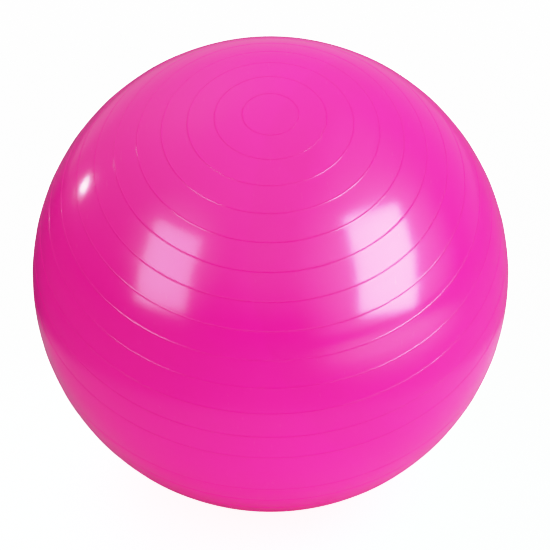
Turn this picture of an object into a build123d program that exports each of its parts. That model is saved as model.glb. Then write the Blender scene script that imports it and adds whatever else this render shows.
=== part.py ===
from build123d import *
import os
from math import cos, degrees, pi, radians, sin, sqrt

os.makedirs("parts", exist_ok=True)

# An air-filled exercise ball of soft PVC, resting on the floor at its full pressure.
# Millimetres, +Z up. The origin is the middle of the flat patch that stands on the floor.

# Ball
ball_diameter = 650.0  # of the plain skin between the ribs, before the floor flattens it
skin_wall = 0.75  # PVC, as thin as the air inside has stretched it
contact_radius = 33.0  # flat patch that the ball's own weight presses out
ring_lean = 25.0  # degrees that the ribs' common axis leans from upright towards -Y

# Moulded ribs: rings about one axis, the same on each side of a plain band at the middle
rings_per_side = 13
ring_crowding = 1.0  # degrees that the rings halfway down a side stand nearer to its pole than even spacing
rib_width = 2.0
rib_height = 0.5
rib_dip = 0.25  # shallow groove in the skin's inner face, behind each rib

# Valve seat: a harder insert bonded into a hole in the skin, at the pole that faces the floor
seat_rim_width = 3.0  # flush with the skin, round the recess for the plug's head
seat_flange_width = 9.0  # beyond the rim, bonded to the inner face of the skin
seat_flange_thickness = 1.5
seat_cup_wall = 1.6  # round and under the recess
seat_collar_wall = 3.5  # round the bore
valve_bore_diameter = 8.0
valve_bore_length = 17.0  # from the recess to the collar's inner end
bore_lead_in = 0.8  # chamfer at the mouth of the bore

# Valve plug: a push-in stopper with a round head, three sealing rings and a tapered tip
plug_head_diameter = 17.0
plug_head_thickness = 2.0
plug_head_edge = 0.5  # bevel round the top of the head
plug_recess = 0.4  # how far the head's top lies below the skin
plug_ring_count = 3
plug_ring_width = 1.6
plug_neck_depth = 0.6  # how far the stem between the sealing rings lies below them
plug_tip_length = 4.0  # taper that pokes out of the collar, into the ball
plug_tip_diameter = 5.0
plug_hollow_diameter = 3.0  # blind hole up the stem, as in most moulded stoppers
plug_hollow_roof = 2.5  # solid left between that hole and the underside of the head

# Clearances of the fits
nail_gap = 1.5  # round the head, for a finger nail or a plug puller
plug_running_clearance = 0.05  # between the sealing rings and the bore, on the radius
plug_seating_clearance = 0.10  # under the head

# Ribs and valve share one axis, which passes through the centre of the ball. Both frames have their
# origin there, with the sketch's y axis along that axis: towards the plain pole in one, and out
# through the valve in the other.
ball_radius = ball_diameter / 2
air_radius = ball_radius - skin_wall
ball_centre = (0, 0, sqrt(ball_radius**2 - contact_radius**2))
facing_front = Vector(0, -1, 0)
ring_plane = Plane(ball_centre, x_dir=(1, 0, 0), z_dir=facing_front.rotate(Axis.X, ring_lean))
valve_plane = Plane(ball_centre, x_dir=(1, 0, 0), z_dir=facing_front.rotate(Axis.X, ring_lean + 180))
ring_axis = Axis(ring_plane.origin, ring_plane.y_dir)
valve_axis = Axis(valve_plane.origin, valve_plane.y_dir)


def point_on_section(radius, angle):
    """Point at a distance from the ball's centre, by its angle from the sketch's y axis."""
    return (radius * sin(radians(angle)), radius * cos(radians(angle)))


def arc_by_angles(radius, first, last):
    """Arc about the ball's centre between two angles from the sketch's y axis."""
    ends = (first, (first + last) / 2, last)
    return ThreePointArc(*[point_on_section(radius, angle) for angle in ends])


def ribbed_half_disc(radius, height):
    """Half disc about the sketch's y axis, with a low rib of that height across its edge at each ring."""
    plain_from = 0
    for angle in ring_angles:
        arc_by_angles(radius, plain_from, angle - half_rib)
        ThreePointArc(
            point_on_section(radius, angle - half_rib),
            point_on_section(radius + height, angle),
            point_on_section(radius, angle + half_rib),
        )
        plain_from = angle + half_rib
    arc_by_angles(radius, plain_from, 180)
    Line((0, -radius), (0, radius))


def arc_by_distances(radius, first, last):
    """Arc about the ball's centre between two distances off the sketch's y axis."""
    ends = (first, (first + last) / 2, last)
    return ThreePointArc(*[(off_axis, sqrt(radius**2 - off_axis**2)) for off_axis in ends])


# Where the ribs stand. About one pitch is left between the last ring and the middle of the ball on
# each side, so the plain band between the two sets is two pitches wide.
ring_pitch = 90 / (rings_per_side + 1)
half_rib = degrees(rib_width / 2 / ball_radius)
rings_by_pole = [
    ring_pitch * ring - ring_crowding * sin(pi * ring / (rings_per_side + 1))
    for ring in range(1, rings_per_side + 1)
]
rings_by_valve = [180 - angle for angle in reversed(rings_by_pole)]
ring_angles = rings_by_pole + rings_by_valve

# Seat and plug, as distances along the valve's axis from the centre of the ball
recess_floor = ball_radius - plug_recess - plug_head_thickness - plug_seating_clearance
cup_end = recess_floor - seat_cup_wall
collar_end = recess_floor - valve_bore_length
head_under = recess_floor + plug_seating_clearance
head_top = head_under + plug_head_thickness
hollow_end = head_under - plug_hollow_roof
tip_end = collar_end - plug_tip_length

# Seat and plug, as radii about the valve's axis
head_radius = plug_head_diameter / 2
recess_radius = head_radius + nail_gap
cup_radius = recess_radius + seat_cup_wall
seat_radius = recess_radius + seat_rim_width
flange_radius = seat_radius + seat_flange_width
bore_radius = valve_bore_diameter / 2
collar_radius = bore_radius + seat_collar_wall
ring_radius = bore_radius - plug_running_clearance
neck_radius = ring_radius - plug_neck_depth
hollow_radius = plug_hollow_diameter / 2

# The air inside, down to the inner face of the flattened patch
with BuildPart() as air_space:
    with BuildSketch(ring_plane):
        with BuildLine():
            ribbed_half_disc(air_radius, rib_dip)
        make_face()
    revolve(axis=ring_axis)
    split(bisect_by=Plane.XY.offset(skin_wall), keep=Keep.TOP)

# Skin: one closed shell with its ribs, flat where it stands and open where the valve seat fits
with BuildPart() as ball_skin:
    with BuildSketch(ring_plane):
        with BuildLine():
            ribbed_half_disc(ball_radius, rib_height)
        make_face()
    revolve(axis=ring_axis)
    split(bisect_by=Plane.XY, keep=Keep.TOP)
    add(air_space.part, mode=Mode.SUBTRACT)
    with BuildSketch(valve_plane):
        with Locations((seat_radius / 2, ball_radius)):
            Rectangle(seat_radius, 2 * seat_radius)
    revolve(axis=valve_axis, mode=Mode.SUBTRACT)

# Valve seat: flush with the skin outside, its flange against the skin's inner face
with BuildPart() as valve_seat:
    with BuildSketch(valve_plane):
        with BuildLine():
            rim = arc_by_distances(ball_radius, recess_radius, seat_radius)
            bond = arc_by_distances(air_radius, seat_radius, flange_radius)
            underside = arc_by_distances(air_radius - seat_flange_thickness, flange_radius, cup_radius)
            Line(rim @ 1, bond @ 0)
            Line(bond @ 1, underside @ 0)
            Polyline(
                underside @ 1,
                (cup_radius, cup_end),
                (collar_radius, cup_end),
                (collar_radius, collar_end),
                (bore_radius, collar_end),
                (bore_radius, recess_floor - bore_lead_in),
                (bore_radius + bore_lead_in, recess_floor),
                (recess_radius, recess_floor),
                rim @ 0,
            )
        make_face()
    revolve(axis=valve_axis)

# Valve plug: its head lies in the recess, and its sealing rings fill the bore
with BuildPart() as valve_plug:
    with BuildSketch(valve_plane):
        with BuildLine():
            Polyline(
                (0, head_top),
                (head_radius - plug_head_edge, head_top),
                (head_radius, head_top - plug_head_edge),
                (head_radius, head_under),
                (neck_radius, head_under),
                (neck_radius, collar_end),
                (plug_tip_diameter / 2, tip_end),
                (hollow_radius, tip_end),
                (hollow_radius, hollow_end),
                (0, hollow_end),
                close=True,
            )
        make_face()
        ring_run = valve_bore_length - bore_lead_in - plug_ring_width
        for ring in range(plug_ring_count):
            ring_middle = collar_end + plug_ring_width / 2 + ring * ring_run / (plug_ring_count - 1)
            with Locations(((hollow_radius + ring_radius) / 2, ring_middle)):
                Rectangle(ring_radius - hollow_radius, plug_ring_width)
    revolve(axis=valve_axis)

for piece, node in ((ball_skin, "ball_skin"), (valve_seat, "valve_seat"), (valve_plug, "valve_plug")):
    piece.part.label = node
    export_step(piece.part, f"parts/{node}.step")
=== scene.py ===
from math import cos, pi, radians, sin, sqrt

import bpy
from mathutils import Matrix, Vector


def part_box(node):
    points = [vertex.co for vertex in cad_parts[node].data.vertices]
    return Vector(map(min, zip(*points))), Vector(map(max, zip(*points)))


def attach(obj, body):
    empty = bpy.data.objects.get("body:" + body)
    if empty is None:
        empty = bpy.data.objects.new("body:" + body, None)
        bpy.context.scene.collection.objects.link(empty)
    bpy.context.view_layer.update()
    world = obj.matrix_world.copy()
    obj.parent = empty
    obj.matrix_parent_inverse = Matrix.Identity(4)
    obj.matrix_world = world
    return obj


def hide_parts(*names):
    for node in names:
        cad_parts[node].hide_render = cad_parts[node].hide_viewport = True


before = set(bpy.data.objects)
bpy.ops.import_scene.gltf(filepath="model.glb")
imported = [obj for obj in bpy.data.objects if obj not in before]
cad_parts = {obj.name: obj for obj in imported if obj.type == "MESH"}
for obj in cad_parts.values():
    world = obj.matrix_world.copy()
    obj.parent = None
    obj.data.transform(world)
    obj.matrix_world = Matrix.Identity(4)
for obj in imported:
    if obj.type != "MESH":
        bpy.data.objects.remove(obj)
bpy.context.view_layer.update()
print("frame loaded:", sorted(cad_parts))


# small helpers for node trees

def feed(tree, socket, value):
    if isinstance(value, bpy.types.NodeSocket):
        tree.links.new(value, socket)
    elif value is not None:
        socket.default_value = value


def addNode(tree, kind, inputs=None, **settings):
    place = len(tree.nodes)
    node = tree.nodes.new(kind)
    node.location = (220 * (place // 6), -260 * (place % 6))
    for setting, value in settings.items():
        setattr(node, setting, value)
    for name, value in (inputs or {}).items():
        feed(tree, node.inputs[name], value)
    return node


def maths(tree, operation, *values):
    node = addNode(tree, "ShaderNodeMath", operation=operation)
    for socket, value in zip(node.inputs, values):
        feed(tree, socket, value)
    return node.outputs[0]


def mapRange(tree, value, fromLow, fromHigh, toLow, toHigh, style="LINEAR"):
    inputs = {"Value": value, "From Min": fromLow, "From Max": fromHigh, "To Min": toLow, "To Max": toHigh}
    return addNode(tree, "ShaderNodeMapRange", inputs, interpolation_type=style).outputs["Result"]


def pick(tree, chooser, whenFalse, whenTrue):
    inputs = {"Switch": chooser, "False": whenFalse, "True": whenTrue}
    return addNode(tree, "GeometryNodeSwitch", inputs, input_type="FLOAT").outputs[0]


def startGroup(name, kind, inputs, outputs):
    # inputs and outputs are {name: (socket type, default)}; returns the tree and its input sockets by name
    tree = bpy.data.node_groups.new(name, kind)
    for side, sockets in (("INPUT", inputs), ("OUTPUT", outputs)):
        for label, (socketType, value) in sockets.items():
            socket = tree.interface.new_socket(label, in_out=side, socket_type=socketType)
            if value is not None:
                socket.default_value = value
    return tree, addNode(tree, "NodeGroupInput").outputs


def growMesh(name, tree, values, mesh=None):
    # runs a geometry tree on a mesh and keeps what it makes as a plain mesh object
    seedling = bpy.data.objects.new(name + "Seedling", mesh or bpy.data.meshes.new(name + "Start"))
    bpy.context.scene.collection.objects.link(seedling)
    modifier = seedling.modifiers.new("grow", "NODES")
    modifier.node_group = tree
    for item in tree.interface.items_tree:
        if item.in_out == "INPUT" and item.name in values:
            modifier[item.identifier] = values[item.name]
    depsgraph = bpy.context.evaluated_depsgraph_get()
    grown = bpy.data.meshes.new_from_object(seedling.evaluated_get(depsgraph), depsgraph=depsgraph)
    grown.name = name
    bpy.data.objects.remove(seedling)
    piece = bpy.data.objects.new(name, grown)
    bpy.context.scene.collection.objects.link(piece)
    print(name, "grown:", len(grown.polygons), "faces")
    return piece


# the ball's size and stance

skinLow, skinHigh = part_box("ball_skin")
stance = {
    "radius": round((skinHigh.x - skinLow.x) / 2, 3),
    "contactRadius": 0.033,  # flat patch on the floor
    "lean": 25.0,            # degrees that the ribs' axis leans towards -Y
}
centreHeight = sqrt(stance["radius"] ** 2 - stance["contactRadius"] ** 2)
ballCentre = Vector((0, 0, centreHeight))


# finishes: what the marks on every plastic look like, whatever their size and strength
marks = {
    "speckFineness": 14.0,   # how much finer the specks are than the clouds of colour
    "speckShare": 0.35,
    "pitCore": 0.02,         # radii, in shares of the pits' spacing
    "pitEdge": 0.07,
    "dustFrom": 0.2,         # how far up a surface has to face before dust stays on it
    "filmFrom": 0.3,
    "filmFull": 0.75,
    "filmLeast": 0.4,
    "rubbedFrom": 0.42,
    "rubbedFull": 0.68,
    "streakTurn": (0.3, 0.9, 0.5),
    "streakStretch": (9.0, 1.0, 3.0),
    "streakFineness": 5.0,
    "streakFrom": 0.66,
    "streakFull": 0.74,
    "scuffRoughness": 0.3,
    "pitRoughness": 0.1,
}


def makeDriftGroup():
    # colour that wanders a little over a moulded surface
    inputs = {
        "Color": ("NodeSocketColor", None),
        "Cloud Size": ("NodeSocketFloat", 0.1),
        "Value Drift": ("NodeSocketFloat", 0.03),
        "Hue Drift": ("NodeSocketFloat", 0.004),
    }
    tree, given = startGroup("colourDrift", "ShaderNodeTree", inputs, {"Color": ("NodeSocketColor", None)})
    place = addNode(tree, "ShaderNodeTexCoord").outputs["Object"]
    scale = maths(tree, "DIVIDE", 1.0, given["Cloud Size"])
    clouds = addNode(tree, "ShaderNodeTexNoise", {
        "Vector": place, "Scale": scale, "Detail": 4.0, "Roughness": 0.6,
    })
    fineScale = maths(tree, "MULTIPLY", scale, marks["speckFineness"])
    specks = addNode(tree, "ShaderNodeTexNoise", {"Vector": place, "Scale": fineScale, "Detail": 2.0})
    cloud = maths(tree, "SUBTRACT", clouds.outputs["Fac"], 0.5)
    speck = maths(tree, "SUBTRACT", specks.outputs["Fac"], 0.5)
    both = maths(tree, "MULTIPLY_ADD", speck, marks["speckShare"], cloud)
    valueSpan = maths(tree, "MULTIPLY", given["Value Drift"], 2.0)  # as the clouds run half a unit each way
    value = maths(tree, "MULTIPLY_ADD", both, valueSpan, 1.0)
    hue = maths(tree, "MULTIPLY_ADD", cloud, given["Hue Drift"], 0.5)
    drifted = addNode(tree, "ShaderNodeHueSaturation", {
        "Hue": hue, "Value": value, "Color": given["Color"],
    })
    addNode(tree, "NodeGroupOutput", {"Color": drifted.outputs["Color"]})
    return tree


def makeGrainGroup():
    # fine texture that a mould leaves: soft orange peel with a scatter of small pits
    inputs = {
        "Peel Size": ("NodeSocketFloat", 0.004),
        "Grain Size": ("NodeSocketFloat", 0.0006),
        "Grain Share": ("NodeSocketFloat", 0.3),
        "Pit Spacing": ("NodeSocketFloat", 0.012),
        "Pit Depth": ("NodeSocketFloat", 0.3),
    }
    outputs = {"Height": ("NodeSocketFloat", None), "Pits": ("NodeSocketFloat", None)}
    tree, given = startGroup("mouldedGrain", "ShaderNodeTree", inputs, outputs)
    place = addNode(tree, "ShaderNodeTexCoord").outputs["Object"]
    peelScale = maths(tree, "DIVIDE", 1.0, given["Peel Size"])
    peel = addNode(tree, "ShaderNodeTexNoise", {"Vector": place, "Scale": peelScale, "Detail": 2.0})
    grainScale = maths(tree, "DIVIDE", 1.0, given["Grain Size"])
    grain = addNode(tree, "ShaderNodeTexNoise", {
        "Vector": place, "Scale": grainScale, "Detail": 3.0, "Roughness": 0.65,
    })
    pitScale = maths(tree, "DIVIDE", 1.0, given["Pit Spacing"])
    cells = addNode(tree, "ShaderNodeTexVoronoi", {"Vector": place, "Scale": pitScale, "Randomness": 1.0})
    toPit = cells.outputs["Distance"]
    pits = mapRange(tree, toPit, marks["pitCore"], marks["pitEdge"], 1.0, 0.0, "SMOOTHSTEP")
    height = maths(tree, "MULTIPLY_ADD", grain.outputs["Fac"], given["Grain Share"], peel.outputs["Fac"])
    sunk = maths(tree, "MULTIPLY", pits, given["Pit Depth"])
    addNode(tree, "NodeGroupOutput", {"Height": maths(tree, "SUBTRACT", height, sunk), "Pits": pits})
    return tree


def makeWearGroup():
    # signs of use: a film of dust on what faces up, broad rubbed patches, and short fine scuffs
    inputs = {
        "Patch Size": ("NodeSocketFloat", 0.15),
        "Dust": ("NodeSocketFloat", 0.1),
        "Rubbing": ("NodeSocketFloat", 0.2),
        "Scuffs": ("NodeSocketFloat", 0.1),
    }
    outputs = {
        "Dust": ("NodeSocketFloat", None),
        "Rubbed": ("NodeSocketFloat", None),
        "Scuffed": ("NodeSocketFloat", None),
    }
    tree, given = startGroup("handlingWear", "ShaderNodeTree", inputs, outputs)
    place = addNode(tree, "ShaderNodeTexCoord").outputs["Object"]
    scale = maths(tree, "DIVIDE", 1.0, given["Patch Size"])
    patches = addNode(tree, "ShaderNodeTexNoise", {
        "Vector": place, "Scale": scale, "Detail": 5.0, "Roughness": 0.6,
    }).outputs["Fac"]
    facing = addNode(tree, "ShaderNodeNewGeometry").outputs["Normal"]
    upward = addNode(tree, "ShaderNodeSeparateXYZ", {"Vector": facing}).outputs["Z"]
    settled = mapRange(tree, upward, marks["dustFrom"], 1.0, 0.0, 1.0, "SMOOTHSTEP")
    film = mapRange(tree, patches, marks["filmFrom"], marks["filmFull"], marks["filmLeast"], 1.0)
    dust = maths(tree, "MULTIPLY", maths(tree, "MULTIPLY", settled, film), given["Dust"])
    worn = mapRange(tree, patches, marks["rubbedFrom"], marks["rubbedFull"], 0.0, 1.0, "SMOOTHSTEP")
    rubbed = maths(tree, "MULTIPLY", worn, given["Rubbing"])
    streakSpace = addNode(tree, "ShaderNodeMapping", {
        "Vector": place, "Rotation": marks["streakTurn"], "Scale": marks["streakStretch"],
    }).outputs[0]
    streakScale = maths(tree, "MULTIPLY", scale, marks["streakFineness"])
    streaks = addNode(tree, "ShaderNodeTexNoise", {
        "Vector": streakSpace, "Scale": streakScale, "Detail": 3.0,
    }).outputs["Fac"]
    fine = mapRange(tree, streaks, marks["streakFrom"], marks["streakFull"], 0.0, 1.0, "SMOOTHSTEP")
    scuffed = maths(tree, "MULTIPLY", maths(tree, "MULTIPLY", fine, patches), given["Scuffs"])
    addNode(tree, "NodeGroupOutput", {"Dust": dust, "Rubbed": rubbed, "Scuffed": scuffed})
    return tree


driftGroup = makeDriftGroup()
grainGroup = makeGrainGroup()
wearGroup = makeWearGroup()


def useGroup(tree, group, inputs):
    node = addNode(tree, "ShaderNodeGroup", node_tree=group)
    for name, value in inputs.items():
        feed(tree, node.inputs[name], value)
    return node.outputs


def blendColours(tree, factor, first, second):
    node = addNode(tree, "ShaderNodeMix", data_type="RGBA")
    for socket, value in ((node.inputs[0], factor), (node.inputs[6], first), (node.inputs[7], second)):
        feed(tree, socket, value)
    return node.outputs[2]


def mouldedPlastic(name, look, crest=None):
    # one recipe for the three plastics; look holds its colours and amounts, crest names a mask on the mesh
    material = bpy.data.materials.new(name)
    material.use_nodes = True
    material.diffuse_color = (*look["colour"], 1)
    tree = material.node_tree
    tree.nodes.clear()
    drift = useGroup(tree, driftGroup, {
        "Color": (*look["colour"], 1), "Cloud Size": look["cloudSize"],
        "Value Drift": look["valueDrift"], "Hue Drift": look["hueDrift"],
    })
    grain = useGroup(tree, grainGroup, {
        "Peel Size": look["peelSize"], "Grain Size": look["grainSize"], "Grain Share": look["grainShare"],
        "Pit Spacing": look["pitSpacing"], "Pit Depth": look["pitDepth"],
    })
    wear = useGroup(tree, wearGroup, {
        "Patch Size": look["patchSize"], "Dust": look["dust"],
        "Rubbing": look["rubbing"], "Scuffs": look["scuffs"],
    })
    colour = blendColours(tree, wear["Dust"], drift["Color"], (*look["dustColour"], 1))
    colour = blendColours(tree, wear["Scuffed"], colour, (*look["scuffColour"], 1))
    rough = maths(tree, "MULTIPLY_ADD", wear["Rubbed"], look["rubbedRoughness"], look["roughness"])
    rough = maths(tree, "MULTIPLY_ADD", wear["Scuffed"], marks["scuffRoughness"], rough)
    rough = maths(tree, "MULTIPLY_ADD", grain["Pits"], marks["pitRoughness"], rough)
    coat = maths(tree, "SUBTRACT", look["coat"], wear["Scuffed"])
    if crest:
        crestMask = addNode(tree, "ShaderNodeAttribute", attribute_name=crest).outputs["Fac"]
        # painted shade: the rib crests are darkened towards a deeper pink
        paintedRibShade = maths(tree, "MULTIPLY", crestMask, look["paintedCrestShade"])
        colour = blendColours(tree, paintedRibShade, colour, (*look["paintedCrestColour"], 1))
        coat = maths(tree, "MULTIPLY_ADD", crestMask, -look["crestDulling"], coat)
    bump = addNode(tree, "ShaderNodeBump", {
        "Strength": look["bumpStrength"], "Distance": look["bumpDistance"], "Height": grain["Height"],
    })
    # a look's painted glow, where it has one, goes into Emission Strength and Emission Color
    plastic = addNode(tree, "ShaderNodeBsdfPrincipled", {
        "Base Color": colour, "Roughness": rough, "Coat Weight": coat, "Normal": bump.outputs["Normal"],
        "IOR": look["ior"], "Coat Roughness": look["coatRoughness"], "Coat IOR": look["coatIor"],
        "Specular IOR Level": look["specular"], "Emission Strength": look.get("paintedGlow", 0.0),
        "Emission Color": (*look.get("paintedGlowColour", (0, 0, 0)), 1),
    })
    addNode(tree, "ShaderNodeOutputMaterial", {"Surface": plastic.outputs["BSDF"]})
    return material


skinLook = {
    "colour": (0.86, 0.0058, 0.345), "cloudSize": 0.16, "valueDrift": 0.05, "hueDrift": 0.006,
    "peelSize": 0.007, "grainSize": 0.0011, "grainShare": 0.12, "pitSpacing": 0.022, "pitDepth": 0.5,
    "bumpStrength": 0.25, "bumpDistance": 0.0002,
    "patchSize": 0.17, "dust": 0.005, "dustColour": (0.85, 0.62, 0.74),
    "rubbing": 1.0, "rubbedRoughness": 0.08, "scuffs": 0.05, "scuffColour": (0.92, 0.30, 0.60),
    "paintedCrestShade": 0.30, "paintedCrestColour": (0.62, 0.004, 0.22), "crestDulling": 0.50,  # on top of the ribs: a deeper pink as painted shade, and less coat
    "roughness": 0.40, "coat": 0.95, "coatRoughness": 0.16, "ior": 1.45, "coatIor": 1.45, "specular": 0.03,
    "paintedGlow": 0.17, "paintedGlowColour": (1.0, 0.0, 0.05),  # painted glow: red emission standing in for light that the thin skin lets through
}
seatLook = {
    "colour": (0.72, 0.014, 0.27), "cloudSize": 0.02, "valueDrift": 0.05, "hueDrift": 0.006,
    "peelSize": 0.002, "grainSize": 0.0004, "grainShare": 0.5, "pitSpacing": 0.004, "pitDepth": 0.2,
    "bumpStrength": 0.4, "bumpDistance": 0.0001,
    "patchSize": 0.02, "dust": 0.02, "dustColour": (0.80, 0.55, 0.66),
    "rubbing": 1.0, "rubbedRoughness": 0.12, "scuffs": 0.15, "scuffColour": (0.88, 0.28, 0.55),
    "roughness": 0.38, "coat": 0.4, "coatRoughness": 0.22, "ior": 1.5, "coatIor": 1.45, "specular": 0.5,
}
plugLook = {
    "colour": (0.80, 0.80, 0.77), "cloudSize": 0.015, "valueDrift": 0.04, "hueDrift": 0.003,
    "peelSize": 0.0015, "grainSize": 0.0003, "grainShare": 0.7, "pitSpacing": 0.003, "pitDepth": 0.15,
    "bumpStrength": 0.5, "bumpDistance": 0.00008,
    "patchSize": 0.012, "dust": 0.03, "dustColour": (0.70, 0.66, 0.62),
    "rubbing": 1.0, "rubbedRoughness": 0.15, "scuffs": 0.3, "scuffColour": (0.62, 0.58, 0.56),
    "roughness": 0.46, "coat": 0.15, "coatRoughness": 0.3, "ior": 1.5, "coatIor": 1.45, "specular": 0.5,
}
skinVinyl = mouldedPlastic("skinVinyl", skinLook, crest="ribCrest")
seatVinyl = mouldedPlastic("seatVinyl", seatLook)
plugPlastic = mouldedPlastic("plugPlastic", plugLook)
print("finishes made")


# where every turned or moulded shape goes

def makeStandGroup():
    # takes a point from the shape's own axis to the ball's: leans it about X and lifts it to the centre
    inputs = {
        "Point": ("NodeSocketVector", None),
        "Lean": ("NodeSocketFloat", 0.0),
        "Lift": ("NodeSocketFloat", 0.3),
    }
    outputs = {"Point": ("NodeSocketVector", None)}
    tree, given = startGroup("standOnBallAxis", "GeometryNodeTree", inputs, outputs)
    angle = maths(tree, "RADIANS", given["Lean"])
    leant = addNode(tree, "ShaderNodeVectorRotate", {
        "Vector": given["Point"], "Angle": angle,
    }, rotation_type="X_AXIS")
    lift = addNode(tree, "ShaderNodeCombineXYZ", {"Z": given["Lift"]}).outputs[0]
    lifted = addNode(tree, "ShaderNodeVectorMath", {0: leant.outputs[0], 1: lift}, operation="ADD")
    addNode(tree, "NodeGroupOutput", {"Point": lifted.outputs[0]})
    return tree


standGroup = makeStandGroup()
weldWithin = 0.000002  # metres


def standPoint(tree, point, lean, lift):
    node = addNode(tree, "GeometryNodeGroup", node_tree=standGroup)
    for name, value in (("Point", point), ("Lean", lean), ("Lift", lift)):
        feed(tree, node.inputs[name], value)
    return node.outputs["Point"]


def gridPlaces(tree, rows, columns):
    # a grid of vertices, with each vertex's row and column
    vertices = addNode(tree, "GeometryNodeMeshGrid", {"Vertices X": rows, "Vertices Y": columns})
    index = addNode(tree, "GeometryNodeInputIndex").outputs[0]
    row = maths(tree, "FLOOR", maths(tree, "DIVIDE", maths(tree, "ADD", index, 0.5), columns))
    column = maths(tree, "SUBTRACT", index, maths(tree, "MULTIPLY", row, columns))
    return vertices.outputs["Mesh"], row, column


def closeAndFinish(tree, mesh, position, material, masks=None):
    # moves the grid's vertices to their places, welds seam and poles, and hands the mesh out
    moved = addNode(tree, "GeometryNodeSetPosition", {"Geometry": mesh, "Position": position}).outputs[0]
    for name, value in (masks or {}).items():
        moved = addNode(tree, "GeometryNodeStoreNamedAttribute", {
            "Geometry": moved, "Name": name, "Value": value,
        }, data_type="FLOAT", domain="POINT").outputs[0]
    welded = addNode(tree, "GeometryNodeMergeByDistance", {
        "Geometry": moved, "Distance": weldWithin,
    }).outputs[0]
    smooth = addNode(tree, "GeometryNodeSetShadeSmooth", {"Geometry": welded}).outputs[0]
    real = addNode(tree, "GeometryNodeRealizeInstances", {"Geometry": smooth}).outputs[0]
    painted = addNode(tree, "GeometryNodeSetMaterial", {"Geometry": real, "Material": material}).outputs[0]
    addNode(tree, "NodeGroupOutput", {"Geometry": painted})


# skin: a closed ribbed shell, open at the valve and flat where it stands

skin = {
    "ribsEachSide": 13,       # between each pole and the plain band at the middle
    "crowding": 1.0,          # degrees that the ribs halfway down a side stand nearer to its pole
    "ribWidth": 0.0020,
    "ribHeight": 0.00033,     # a little softer than moulded, as stretched vinyl shows it
    "bandBulge": 0.00010,     # how far the skin swells between two ribs
    "wall": 0.00075,
    "valveHole": 0.013,       # radius
    "ripple": 0.00019,        # height of the slow unevenness of blown-up vinyl
    "rippleSize": 0.08,
    "rippleSeed": 4.0,
    "around": 216,            # mesh columns
    "ribRows": 4,             # mesh rows on each flank of a rib
    "ribReach": 0.7,          # share of a rib's width that those rows cover on each side of its middle
    "bandRows": 5,            # mesh rows between two ribs
    "innerRows": 48,
}


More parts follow.
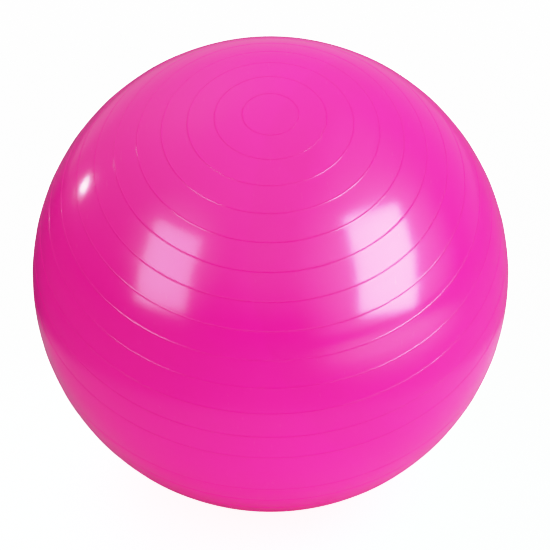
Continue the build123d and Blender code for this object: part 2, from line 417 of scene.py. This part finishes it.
def makeSkinTree():
    floatInputs = (
        "Radius", "Contact Radius", "Lean", "Crowding", "Rib Width", "Rib Height", "Rib Reach",
        "Band Bulge", "Wall", "Valve Hole", "Ripple", "Ripple Size", "Ripple Seed",
    )
    wholeInputs = ("Ribs Each Side", "Around", "Rib Rows", "Band Rows", "Inner Rows")
    inputs = {"Geometry": ("NodeSocketGeometry", None)}
    inputs.update({name: ("NodeSocketFloat", 0.0) for name in floatInputs})
    inputs.update({name: ("NodeSocketInt", 1) for name in wholeInputs})
    inputs["Material"] = ("NodeSocketMaterial", None)
    outputs = {"Geometry": ("NodeSocketGeometry", None)}
    tree, given = startGroup("ribbedSkin", "GeometryNodeTree", inputs, outputs)
    nudge = 0.00001  # keeps a row that falls on a rib from being rounded down to the one before

    def calc(operation, *values):
        return maths(tree, operation, *values)

    # pitches from pole to pole, and the rows that each one gets
    quarter = calc("ADD", given["Ribs Each Side"], 1)
    pitchAngle = calc("DIVIDE", pi / 2, quarter)
    crowding = calc("RADIANS", given["Crowding"])

    def turnAt(pitches):
        # angle from the plain pole, with the ribs of each side crowded a little towards their pole
        wave = calc("SINE", calc("DIVIDE", calc("MULTIPLY", pitches, pi), quarter))
        return calc("SUBTRACT", calc("MULTIPLY", pitches, pitchAngle), calc("MULTIPLY", crowding, wave))

    def pitchesAt(turn):
        # the other way round, to well within a rib's width
        wave = calc("SINE", calc("MULTIPLY", turn, 2))
        return calc("DIVIDE", calc("MULTIPLY_ADD", crowding, wave, turn), pitchAngle)

    pitchLength = calc("MULTIPLY", pitchAngle, given["Radius"])
    rowsPerPitch = calc("MULTIPLY_ADD", given["Rib Rows"], 2, given["Band Rows"])
    outerRows = calc("MULTIPLY", calc("MULTIPLY", quarter, 2), rowsPerPitch)
    allRows = calc("ADD", calc("ADD", outerRows, given["Inner Rows"]), 2)
    columns = calc("ADD", given["Around"], 1)
    mesh, row, column = gridPlaces(tree, allRows, columns)

    # outer rows: close together on the ribs, further apart between them
    inPitches = calc("DIVIDE", row, rowsPerPitch)
    part = calc("FRACT", calc("ADD", inPitches, nudge))
    nearShare = calc("DIVIDE", given["Rib Rows"], rowsPerPitch)
    farShare = calc("SUBTRACT", 1, nearShare)
    nearLength = calc("MULTIPLY", given["Rib Width"], given["Rib Reach"])
    bandLength = calc("MULTIPLY_ADD", nearLength, -2, pitchLength)
    fromRib = mapRange(tree, part, 0, nearShare, 0, nearLength)
    acrossBand = mapRange(tree, part, nearShare, farShare, 0, bandLength)
    toRib = mapRange(tree, part, farShare, 1, 0, nearLength)
    travelled = calc("ADD", calc("ADD", fromRib, acrossBand), toRib)
    whole = calc("FLOOR", calc("ADD", inPitches, nudge))
    outerPitches = calc("ADD", whole, calc("DIVIDE", travelled, pitchLength))
    outerEnd = calc("SUBTRACT", pi, calc("ARCSINE", calc("DIVIDE", given["Valve Hole"], given["Radius"])))
    lastPitch = pitchesAt(outerEnd)
    pastHole = calc("GREATER_THAN", outerPitches, lastPitch)
    outerPitches = calc("MINIMUM", outerPitches, lastPitch)
    outerTurn = pick(tree, pastHole, turnAt(outerPitches), outerEnd)

    # inner rows run back from the valve hole to the pole
    innerRadius = calc("SUBTRACT", given["Radius"], given["Wall"])
    innerEnd = calc("SUBTRACT", pi, calc("ARCSINE", calc("DIVIDE", given["Valve Hole"], innerRadius)))
    back = calc("DIVIDE", calc("SUBTRACT", calc("SUBTRACT", row, outerRows), 1), given["Inner Rows"])
    innerTurn = calc("MULTIPLY", calc("SUBTRACT", 1, back), innerEnd)
    isInner = calc("GREATER_THAN", row, calc("ADD", outerRows, 0.5))
    turn = pick(tree, isInner, outerTurn, innerTurn)

    # relief: a rib at each pitch but the poles and the middle, and a slight swell between ribs
    pitches = pick(tree, isInner, outerPitches, pitchesAt(innerTurn))
    plainPlace = calc("MULTIPLY", calc("ROUND", calc("DIVIDE", pitches, quarter)), quarter)
    fromPlain = calc("SUBTRACT", pitches, plainPlace)
    nearPlain = calc("LESS_THAN", calc("ABSOLUTE", fromPlain), 1)
    hasRib = calc("GREATER_THAN", calc("ABSOLUTE", fromPlain), 0.5)
    inBand = calc("MULTIPLY_ADD", calc("FRACT", pitches), 2, -1)
    acrossSwell = pick(tree, nearPlain, inBand, fromPlain)
    swell = calc("SUBTRACT", 1, calc("MULTIPLY", acrossSwell, acrossSwell))
    pitchesOff = calc("ABSOLUTE", calc("SUBTRACT", pitches, calc("ROUND", pitches)))
    offRib = calc("MULTIPLY", pitchesOff, pitchLength)
    ribPlace = calc("DIVIDE", offRib, calc("MULTIPLY", given["Rib Width"], 0.5))
    ribShape = calc("MAXIMUM", calc("SUBTRACT", 1, calc("MULTIPLY", ribPlace, ribPlace)), 0)
    crest = calc("MULTIPLY", calc("MULTIPLY", ribShape, hasRib), calc("SUBTRACT", 1, isInner))

    # the direction of each vertex from the ball's centre, and a slow ripple over it
    around = calc("MULTIPLY", calc("DIVIDE", column, given["Around"]), 2 * pi)
    across = calc("SINE", turn)
    outward = addNode(tree, "ShaderNodeCombineXYZ", {
        "X": calc("MULTIPLY", across, calc("COSINE", around)),
        "Y": calc("MULTIPLY", across, calc("SINE", around)),
        "Z": calc("COSINE", turn),
    }).outputs[0]
    rippleScale = calc("DIVIDE", given["Radius"], given["Ripple Size"])
    noise = addNode(tree, "ShaderNodeTexNoise", {
        "Vector": outward, "Scale": rippleScale, "W": given["Ripple Seed"], "Detail": 1.0,
    }, noise_dimensions="4D").outputs[0]
    ripple = calc("MULTIPLY", calc("SUBTRACT", noise, 0.5), given["Ripple"])

    radius = calc("MULTIPLY_ADD", isInner, calc("MULTIPLY", given["Wall"], -1), given["Radius"])
    radius = calc("MULTIPLY_ADD", swell, given["Band Bulge"], radius)
    radius = calc("MULTIPLY_ADD", crest, given["Rib Height"], radius)
    radius = calc("ADD", radius, ripple)
    point = addNode(tree, "ShaderNodeVectorMath", {
        0: outward, "Scale": radius,
    }, operation="SCALE").outputs[0]

    # lean it over, lift it, and press flat what would sink into the floor
    radiusSquared = calc("POWER", given["Radius"], 2)
    contactSquared = calc("POWER", given["Contact Radius"], 2)
    lift = calc("SQRT", calc("SUBTRACT", radiusSquared, contactSquared))
    stood = standPoint(tree, point, given["Lean"], lift)
    parts = addNode(tree, "ShaderNodeSeparateXYZ", {"Vector": stood}).outputs
    floorHeight = calc("MULTIPLY", isInner, given["Wall"])
    pressed = addNode(tree, "ShaderNodeCombineXYZ", {
        "X": parts["X"], "Y": parts["Y"], "Z": calc("MAXIMUM", parts["Z"], floorHeight),
    }).outputs[0]
    closeAndFinish(tree, mesh, pressed, given["Material"], {"ribCrest": crest})
    return tree


ballSkin = growMesh("ballSkin", makeSkinTree(), {
    "Radius": stance["radius"], "Contact Radius": stance["contactRadius"], "Lean": stance["lean"],
    "Ribs Each Side": skin["ribsEachSide"], "Crowding": skin["crowding"],
    "Rib Width": skin["ribWidth"], "Rib Height": skin["ribHeight"], "Rib Reach": skin["ribReach"],
    "Band Bulge": skin["bandBulge"], "Wall": skin["wall"], "Valve Hole": skin["valveHole"],
    "Ripple": skin["ripple"], "Ripple Size": skin["rippleSize"], "Ripple Seed": skin["rippleSeed"],
    "Around": skin["around"], "Rib Rows": skin["ribRows"], "Band Rows": skin["bandRows"],
    "Inner Rows": skin["innerRows"], "Material": skinVinyl,
})
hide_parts("ball_skin")
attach(ballSkin, "ball")


# turned pieces: a half outline swept round the valve's axis, its corners rounded

def makeTurnedTree():
    inputs = {
        "Geometry": ("NodeSocketGeometry", None),
        "Corner Radius": ("NodeSocketFloat", 0.0002),
        "Lean": ("NodeSocketFloat", 0.0),
        "Lift": ("NodeSocketFloat", 0.3),
        "Corner Steps": ("NodeSocketInt", 3),
        "Around": ("NodeSocketInt", 64),
        "Closed": ("NodeSocketInt", 0),
        "Material": ("NodeSocketMaterial", None),
    }
    outputs = {"Geometry": ("NodeSocketGeometry", None)}
    tree, given = startGroup("turnedPiece", "GeometryNodeTree", inputs, outputs)
    outline = addNode(tree, "GeometryNodeMeshToCurve", {"Mesh": given["Geometry"]}).outputs[0]
    rounded = addNode(tree, "GeometryNodeFilletCurve", {
        "Curve": outline, "Count": given["Corner Steps"],
        "Radius": given["Corner Radius"], "Limit Radius": True,
    }, mode="POLY").outputs[0]
    counted = addNode(tree, "GeometryNodeAttributeDomainSize", {"Geometry": rounded}, component="CURVE")
    pointCount = counted.outputs["Point Count"]
    rows = maths(tree, "ADD", pointCount, given["Closed"])
    columns = maths(tree, "ADD", given["Around"], 1)
    mesh, row, column = gridPlaces(tree, rows, columns)
    wrapped = maths(tree, "FLOORED_MODULO", row, pointCount)
    position = addNode(tree, "GeometryNodeInputPosition").outputs[0]
    sampled = addNode(tree, "GeometryNodeSampleIndex", {
        "Geometry": rounded, "Value": position, "Index": wrapped,
    }, data_type="FLOAT_VECTOR", domain="POINT").outputs[0]
    angle = maths(tree, "MULTIPLY", maths(tree, "DIVIDE", column, given["Around"]), 2 * pi)
    swept = addNode(tree, "ShaderNodeVectorRotate", {
        "Vector": sampled, "Angle": angle,
    }, rotation_type="Z_AXIS").outputs[0]
    stood = standPoint(tree, swept, given["Lean"], given["Lift"])
    closeAndFinish(tree, mesh, stood, given["Material"])
    return tree


turnedTree = makeTurnedTree()


def outlineMesh(name, points, closed):
    # points are (distance off the axis, distance along it)
    mesh = bpy.data.meshes.new(name)
    edges = [(n, n + 1) for n in range(len(points) - 1)]
    if closed:
        edges.append((len(points) - 1, 0))
    mesh.from_pydata([(off, 0, along) for off, along in points], edges, [])
    return mesh


corners = {
    "radius": 0.00022,
    "steps": 3,
    "sharpFrom": 40,  # degrees between faces
}


def turnPiece(name, points, closed, around, material):
    piece = growMesh(name, turnedTree, {
        "Corner Radius": corners["radius"], "Corner Steps": corners["steps"],
        "Lean": stance["lean"] + 180, "Lift": centreHeight,
        "Around": around, "Closed": int(closed), "Material": material,
    }, outlineMesh(name + "Outline", points, closed))
    piece.data.set_sharp_from_angle(angle=radians(corners["sharpFrom"]))
    return piece


# valve: a seat bonded into the skin, and the push-in plug that closes it

valve = {
    "rimWidth": 0.003, "flangeWidth": 0.009, "flangeThickness": 0.0015,
    "cupWall": 0.0016, "collarWall": 0.0035,
    "boreRadius": 0.004, "boreLength": 0.017, "boreLeadIn": 0.0008,
    "headRadius": 0.0085, "headThickness": 0.002, "headEdge": 0.0005, "headBelowSkin": 0.0004,
    "nailGap": 0.0015, "underHead": 0.0001, "roundBore": 0.00005,
    "sealingRings": 3, "ringWidth": 0.0016, "neckDepth": 0.0006,
    "tipLength": 0.004, "tipRadius": 0.0025, "hollowRadius": 0.0015, "hollowRoof": 0.0025,
    "seatAround": 128, "plugAround": 96,  # mesh columns
}
recessFloor = stance["radius"] - valve["headBelowSkin"] - valve["headThickness"] - valve["underHead"]
collarEnd = recessFloor - valve["boreLength"]


def onSphere(sphereRadius, offAxis):
    return (offAxis, sqrt(sphereRadius ** 2 - offAxis ** 2))


def seatOutline():
    recess = valve["headRadius"] + valve["nailGap"]
    rim = recess + valve["rimWidth"]
    flange = rim + valve["flangeWidth"]
    cup = recess + valve["cupWall"]
    bore = valve["boreRadius"]
    collar = bore + valve["collarWall"]
    cupEnd = recessFloor - valve["cupWall"]
    inside = stance["radius"] - skin["wall"]
    underside = inside - valve["flangeThickness"]
    return [
        onSphere(stance["radius"], recess), onSphere(stance["radius"], rim),
        onSphere(inside, rim), onSphere(inside, flange),
        onSphere(underside, flange), onSphere(underside, cup),
        (cup, cupEnd), (collar, cupEnd), (collar, collarEnd), (bore, collarEnd),
        (bore, recessFloor - valve["boreLeadIn"]), (bore + valve["boreLeadIn"], recessFloor),
        (recess, recessFloor),
    ]


def plugOutline():
    headUnder = recessFloor + valve["underHead"]
    headTop = headUnder + valve["headThickness"]
    ring = valve["boreRadius"] - valve["roundBore"]
    neck = ring - valve["neckDepth"]
    tipEnd = collarEnd - valve["tipLength"]
    points = [
        (0, headTop), (valve["headRadius"] - valve["headEdge"], headTop),
        (valve["headRadius"], headTop - valve["headEdge"]), (valve["headRadius"], headUnder),
        (neck, headUnder),
    ]
    run = valve["boreLength"] - valve["boreLeadIn"] - valve["ringWidth"]
    for n in reversed(range(valve["sealingRings"])):  # from the head inwards
        low = collarEnd + n * run / (valve["sealingRings"] - 1)
        high = low + valve["ringWidth"]
        points += [(neck, high), (ring, high), (ring, low), (neck, low)]
    points += [
        (valve["tipRadius"], tipEnd), (valve["hollowRadius"], tipEnd),
        (valve["hollowRadius"], headUnder - valve["hollowRoof"]), (0, headUnder - valve["hollowRoof"]),
    ]
    return points


valveSeat = turnPiece("valveSeat", seatOutline(), True, valve["seatAround"], seatVinyl)
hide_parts("valve_seat")
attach(valveSeat, "ball")

valvePlug = turnPiece("valvePlug", plugOutline(), False, valve["plugAround"], plugPlastic)
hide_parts("valve_plug")
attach(valvePlug, "plug")
print("valve made")


# azimuth 0 is towards the camera, -Y, and 90 is towards +X; directions are from the ball's centre
def direction(azimuth, elevation):
    turn = radians(azimuth)
    rise = radians(elevation)
    return Vector((sin(turn) * cos(rise), -cos(turn) * cos(rise), sin(rise)))


# floor: a pale round sheet under the ball, on darker ground
floorLook = {
    "size": 12.0,
    "drop": 0.0004,      # below the ball
    "colour": (0.90, 0.90, 0.905),
    "reflected": 0.33,   # share of its colour that the gloss shows on the sheet
    "reflectedFar": 0.12,  # and past the sheet's edge
    "sheetRadius": 0.68,
    "sheetFade": 0.08,
    "cornerSlant": 0.8,  # the far ground stays dark at the left and in front
    "cornerFrom": -0.4,
    "cornerTo": 0.5,
    "paintedLightLeft": 0.88, "paintedLightRight": 1.45,  # painted light: the floor's colour, in the gloss and in what it bounces, grows brighter from left to right
    "sideReach": 0.5,
    "paintedPool": 3.1,         # painted pool of light: emission that only the gloss sees, where the right softbox spills on the floor
    "poolAzimuth": 52, "poolDistance": 2.3, "poolFull": 0.5, "poolGone": 1.55,
    "bounced": 1.25,     # share of its colour that lights the ball from below
    "seen": 1.2,         # share of its colour that the camera sees
    "lift": 1.4,         # plain brightness that the camera sees as well, which keeps the shadow faint
}


def makeFloor():
    material = bpy.data.materials.new("paleFloor")
    material.use_nodes = True
    tree = material.node_tree
    tree.nodes.clear()
    place = addNode(tree, "ShaderNodeTexCoord").outputs["Object"]
    reach = addNode(tree, "ShaderNodeVectorMath", {0: place}, operation="LENGTH").outputs["Value"]
    whole = floorLook["sheetRadius"] - floorLook["sheetFade"]
    gone = floorLook["sheetRadius"] + floorLook["sheetFade"]
    onSheet = mapRange(tree, reach, whole, gone, 1.0, 0.0, "SMOOTHSTEP")
    parts = addNode(tree, "ShaderNodeSeparateXYZ", {"Vector": place}).outputs
    offCorner = maths(tree, "MULTIPLY_ADD", parts["Y"], floorLook["cornerSlant"], parts["X"])
    past = mapRange(tree, offCorner, floorLook["cornerFrom"], floorLook["cornerTo"],
                    0.0, floorLook["reflectedFar"], "SMOOTHSTEP")
    inGloss = maths(tree, "MAXIMUM", maths(tree, "MULTIPLY", onSheet, floorLook["reflected"]), past)
    # painted light: the floor's colour brightens from left to right, towards the right softbox
    sideReach = floorLook["sideReach"]
    paintedSideLight = mapRange(tree, parts["X"], -sideReach, sideReach,
                       floorLook["paintedLightLeft"], floorLook["paintedLightRight"])
    inGloss = maths(tree, "MULTIPLY", inGloss, paintedSideLight)
    ray = addNode(tree, "ShaderNodeLightPath").outputs
    share = maths(tree, "MULTIPLY", ray["Is Glossy Ray"], inGloss)
    share = maths(tree, "MULTIPLY_ADD", ray["Is Camera Ray"], floorLook["seen"], share)
    bounced = maths(tree, "MULTIPLY", paintedSideLight, floorLook["bounced"])
    share = maths(tree, "MULTIPLY_ADD", ray["Is Diffuse Ray"], bounced, share)
    shade = addNode(tree, "ShaderNodeVectorMath", {
        0: floorLook["colour"], "Scale": share,
    }, operation="SCALE").outputs[0]
    matte = addNode(tree, "ShaderNodeBsdfDiffuse", {"Color": shade})
    # painted pool of light: an emission on the floor that only gloss rays see
    poolPlace = direction(floorLook["poolAzimuth"], 0) * floorLook["poolDistance"]
    fromPool = addNode(tree, "ShaderNodeVectorMath", {
        0: place, 1: poolPlace,
    }, operation="DISTANCE").outputs["Value"]
    paintedPool = mapRange(tree, fromPool, floorLook["poolFull"], floorLook["poolGone"],
                    floorLook["paintedPool"], 0.0, "SMOOTHSTEP")
    strength = maths(tree, "MULTIPLY", ray["Is Glossy Ray"], paintedPool)
    strength = maths(tree, "MULTIPLY_ADD", ray["Is Camera Ray"], floorLook["lift"], strength)
    lift = addNode(tree, "ShaderNodeEmission", {"Strength": strength})
    both = addNode(tree, "ShaderNodeAddShader", {0: matte.outputs[0], 1: lift.outputs[0]})
    addNode(tree, "ShaderNodeOutputMaterial", {"Surface": both.outputs[0]})
    half = floorLook["size"] / 2
    low = -floorLook["drop"]
    floorCorners = [(-half, -half, low), (half, -half, low), (half, half, low), (-half, half, low)]
    mesh = bpy.data.meshes.new("floor")
    mesh.from_pydata(floorCorners, [], [(0, 1, 2, 3)])
    mesh.materials.append(material)
    floor = bpy.data.objects.new("floor", mesh)
    bpy.context.scene.collection.objects.link(floor)


makeFloor()


# light: two softboxes in front, a small lamp at the left, and two panels that light matte surfaces only
softLights = {
    "leftSoftbox": {
        "azimuth": -50, "elevation": 21.0, "distance": 2.2, "width": 0.94, "height": 1.28, "roll": 5,
        "gloss": 7.8, "matte": 1.25, "glossColour": (1.0, 0.90, 1.12),
    },
    "rightSoftbox": {
        "azimuth": 56.5, "elevation": 21.5, "distance": 2.2, "width": 1.14, "height": 1.62, "roll": -14,
        "gloss": 16.5, "matte": 2.9, "glossColour": (1.0, 0.88, 1.12),
    },
    "smallLamp": {
        "azimuth": -118, "elevation": 13, "distance": 2.6, "width": 0.17, "height": 0.22, "roll": 0,
        "gloss": 30.0, "matte": 1.6, "glossColour": (1.0, 0.95, 1.05),
    },
    "backPanel": {
        "azimuth": -150, "elevation": 50, "distance": 2.2, "width": 1.6, "height": 1.6, "roll": 0,
        "matte": 1.4,
    },
    "topPanel": {
        "azimuth": 88, "elevation": 47, "distance": 2.2, "width": 1.6, "height": 1.6, "roll": 0,
        "matte": 2.55,
    },
}


def addSoftLight(name, look):
    # one light for the gloss and one for the matte share, in the same place; a panel has only the second
    toLight = direction(look["azimuth"], look["elevation"])
    aim = toLight.to_track_quat("Z", "Y").to_matrix().to_4x4()
    rolled = aim @ Matrix.Rotation(radians(look["roll"]), 4, "Z")
    place = Matrix.Translation(ballCentre + toLight * look["distance"]) @ rolled
    for share in ("gloss", "matte"):
        if share not in look:
            continue
        lamp = bpy.data.lights.new(f"{name}.{share}", "AREA")
        lamp.shape = "RECTANGLE"
        lamp.size = look["width"]
        lamp.size_y = look["height"]
        lamp.energy = look[share] * pi * look["width"] * look["height"]
        lamp.color = look["glossColour"] if share == "gloss" else (1.0, 1.0, 1.0)
        holder = bpy.data.objects.new(lamp.name, lamp)
        bpy.context.scene.collection.objects.link(holder)
        holder.matrix_world = place
        holder.visible_camera = False
        holder.visible_diffuse = share == "matte"
        holder.visible_glossy = share == "gloss"


for lightName, lightLook in softLights.items():
    addSoftLight(lightName, lightLook)


# room: pale ceiling and back wall, seen only in the gloss; angles are in degrees
room = {
    "colour": (1.0, 0.95, 1.03),
    "background": 2.6,        # what the camera sees
    "dark": 0.01,
    "ceiling": 1.0,
    "frontCeiling": (-5, 50),  # elevations where it starts and is full, in front and at the left
    "backCeiling": (30, 75),   # and behind, at the right
    "rightEdge": (95, 120),    # azimuths where the back of the room takes over
    "leftEdge": (-180, -125),
    "backWall": 0.42,
    "wallLeftEdge": (-146, -136),
    "wallFoot": (-30, 5),      # elevations between which the back wall brightens
    "wallFootShare": 0.5,
    "matteShare": 1.25,        # light that reaches matte surfaces from straight above
    "matteRise": (8, 62),      # elevations where that light starts and is full
}
# soft brightness round the softboxes, full within one angle from its middle and gone beyond the other
glows = {
    "rightGlow": {"azimuth": 58, "elevation": 16, "full": 16, "gone": 50, "strength": 3.2},
    "leftGlow": {"azimuth": -54, "elevation": 27, "full": 12, "gone": 30, "strength": 1.1},
    "middleGlow": {"azimuth": 2, "elevation": 27, "full": 6, "gone": 28, "strength": 0.45},
}


def makeRoom():
    world = bpy.data.worlds.new("studio")
    bpy.context.scene.world = world
    world.use_nodes = True
    tree = world.node_tree
    tree.nodes.clear()
    toSky = addNode(tree, "ShaderNodeTexCoord").outputs["Generated"]
    parts = addNode(tree, "ShaderNodeSeparateXYZ", {"Vector": toSky}).outputs
    rise = maths(tree, "DEGREES", maths(tree, "ARCSINE", parts["Z"]))
    ahead = maths(tree, "MULTIPLY", parts["Y"], -1)
    turn = maths(tree, "DEGREES", maths(tree, "ARCTAN2", parts["X"], ahead))
    # the ceiling reaches lower in front and at the left than behind, at the right
    low = mapRange(tree, rise, *room["frontCeiling"], room["dark"], room["ceiling"])
    high = mapRange(tree, rise, *room["backCeiling"], room["backWall"], room["ceiling"])
    atRight = mapRange(tree, turn, *room["rightEdge"], 0.0, 1.0, "SMOOTHSTEP")
    atLeft = mapRange(tree, turn, *room["leftEdge"], 1.0, 0.0)
    atBack = maths(tree, "MAXIMUM", atRight, atLeft)
    wallAtLeft = mapRange(tree, turn, *room["wallLeftEdge"], 1.0, 0.0, "SMOOTHSTEP")
    onWall = maths(tree, "MAXIMUM", atRight, wallAtLeft)
    wallFoot = room["backWall"] * room["wallFootShare"]
    wall = mapRange(tree, rise, *room["wallFoot"], wallFoot, room["backWall"])
    shown = maths(tree, "MULTIPLY_ADD", atBack, maths(tree, "SUBTRACT", high, low), low)
    shown = maths(tree, "MAXIMUM", shown, maths(tree, "MULTIPLY", onWall, wall))
    ray = addNode(tree, "ShaderNodeLightPath").outputs
    overhead = mapRange(tree, rise, *room["matteRise"], 0.0, room["matteShare"])
    strength = maths(tree, "MULTIPLY", overhead, ray["Is Diffuse Ray"])
    for glow in glows.values():
        middle = direction(glow["azimuth"], glow["elevation"])
        along = addNode(tree, "ShaderNodeVectorMath", {
            0: toSky, 1: middle,
        }, operation="DOT_PRODUCT").outputs["Value"]
        away = maths(tree, "DEGREES", maths(tree, "ARCCOSINE", along))
        added = mapRange(tree, away, glow["full"], glow["gone"], glow["strength"], 0.0, "SMOOTHSTEP")
        shown = maths(tree, "ADD", shown, added)
    strength = maths(tree, "MULTIPLY_ADD", shown, ray["Is Glossy Ray"], strength)
    strength = maths(tree, "MULTIPLY_ADD", ray["Is Camera Ray"], room["background"], strength)
    backdrop = addNode(tree, "ShaderNodeBackground", {"Color": (*room["colour"], 1), "Strength": strength})
    addNode(tree, "ShaderNodeOutputWorld", {"Surface": backdrop.outputs[0]})


makeRoom()
print("studio made")


# camera

view = {
    "elevation": 27.0, "distance": 2.6,
    "lens": 123.6, "sensor": 36.0, "shiftX": 0.0082, "shiftY": -0.0016,
}


def addCamera():
    data = bpy.data.cameras.new("camera")
    data.lens = view["lens"]
    data.sensor_width = view["sensor"]
    data.shift_x = view["shiftX"]
    data.shift_y = view["shiftY"]
    data.dof.use_dof = False
    camera = bpy.data.objects.new("camera", data)
    bpy.context.scene.collection.objects.link(camera)
    back = direction(0, view["elevation"])
    aim = back.to_track_quat("Z", "Y").to_matrix().to_4x4()
    camera.matrix_world = Matrix.Translation(ballCentre + back * view["distance"]) @ aim
    bpy.context.scene.camera = camera


addCamera()


# tone: a soft shoulder, so that bright vinyl doesn't clip

toneShoulder = {
    "whiteAt": 2.2,
    "points": (  # brightness, and what is shown for it
        (0.58, 0.58), (0.75, 0.72), (0.95, 0.81), (1.15, 0.87), (1.35, 0.915), (1.7, 0.97), (2.1, 1.0),
    ),
}


def setTone():
    settings = bpy.context.scene.view_settings
    settings.view_transform = "Standard"
    settings.use_curve_mapping = True
    curves = settings.curve_mapping
    curves.white_level = (toneShoulder["whiteAt"],) * 3
    combined = curves.curves[3]
    for brightness, shown in toneShoulder["points"]:
        combined.points.new(brightness / toneShoulder["whiteAt"], shown)
    curves.update()


setTone()

print("ready to finish")
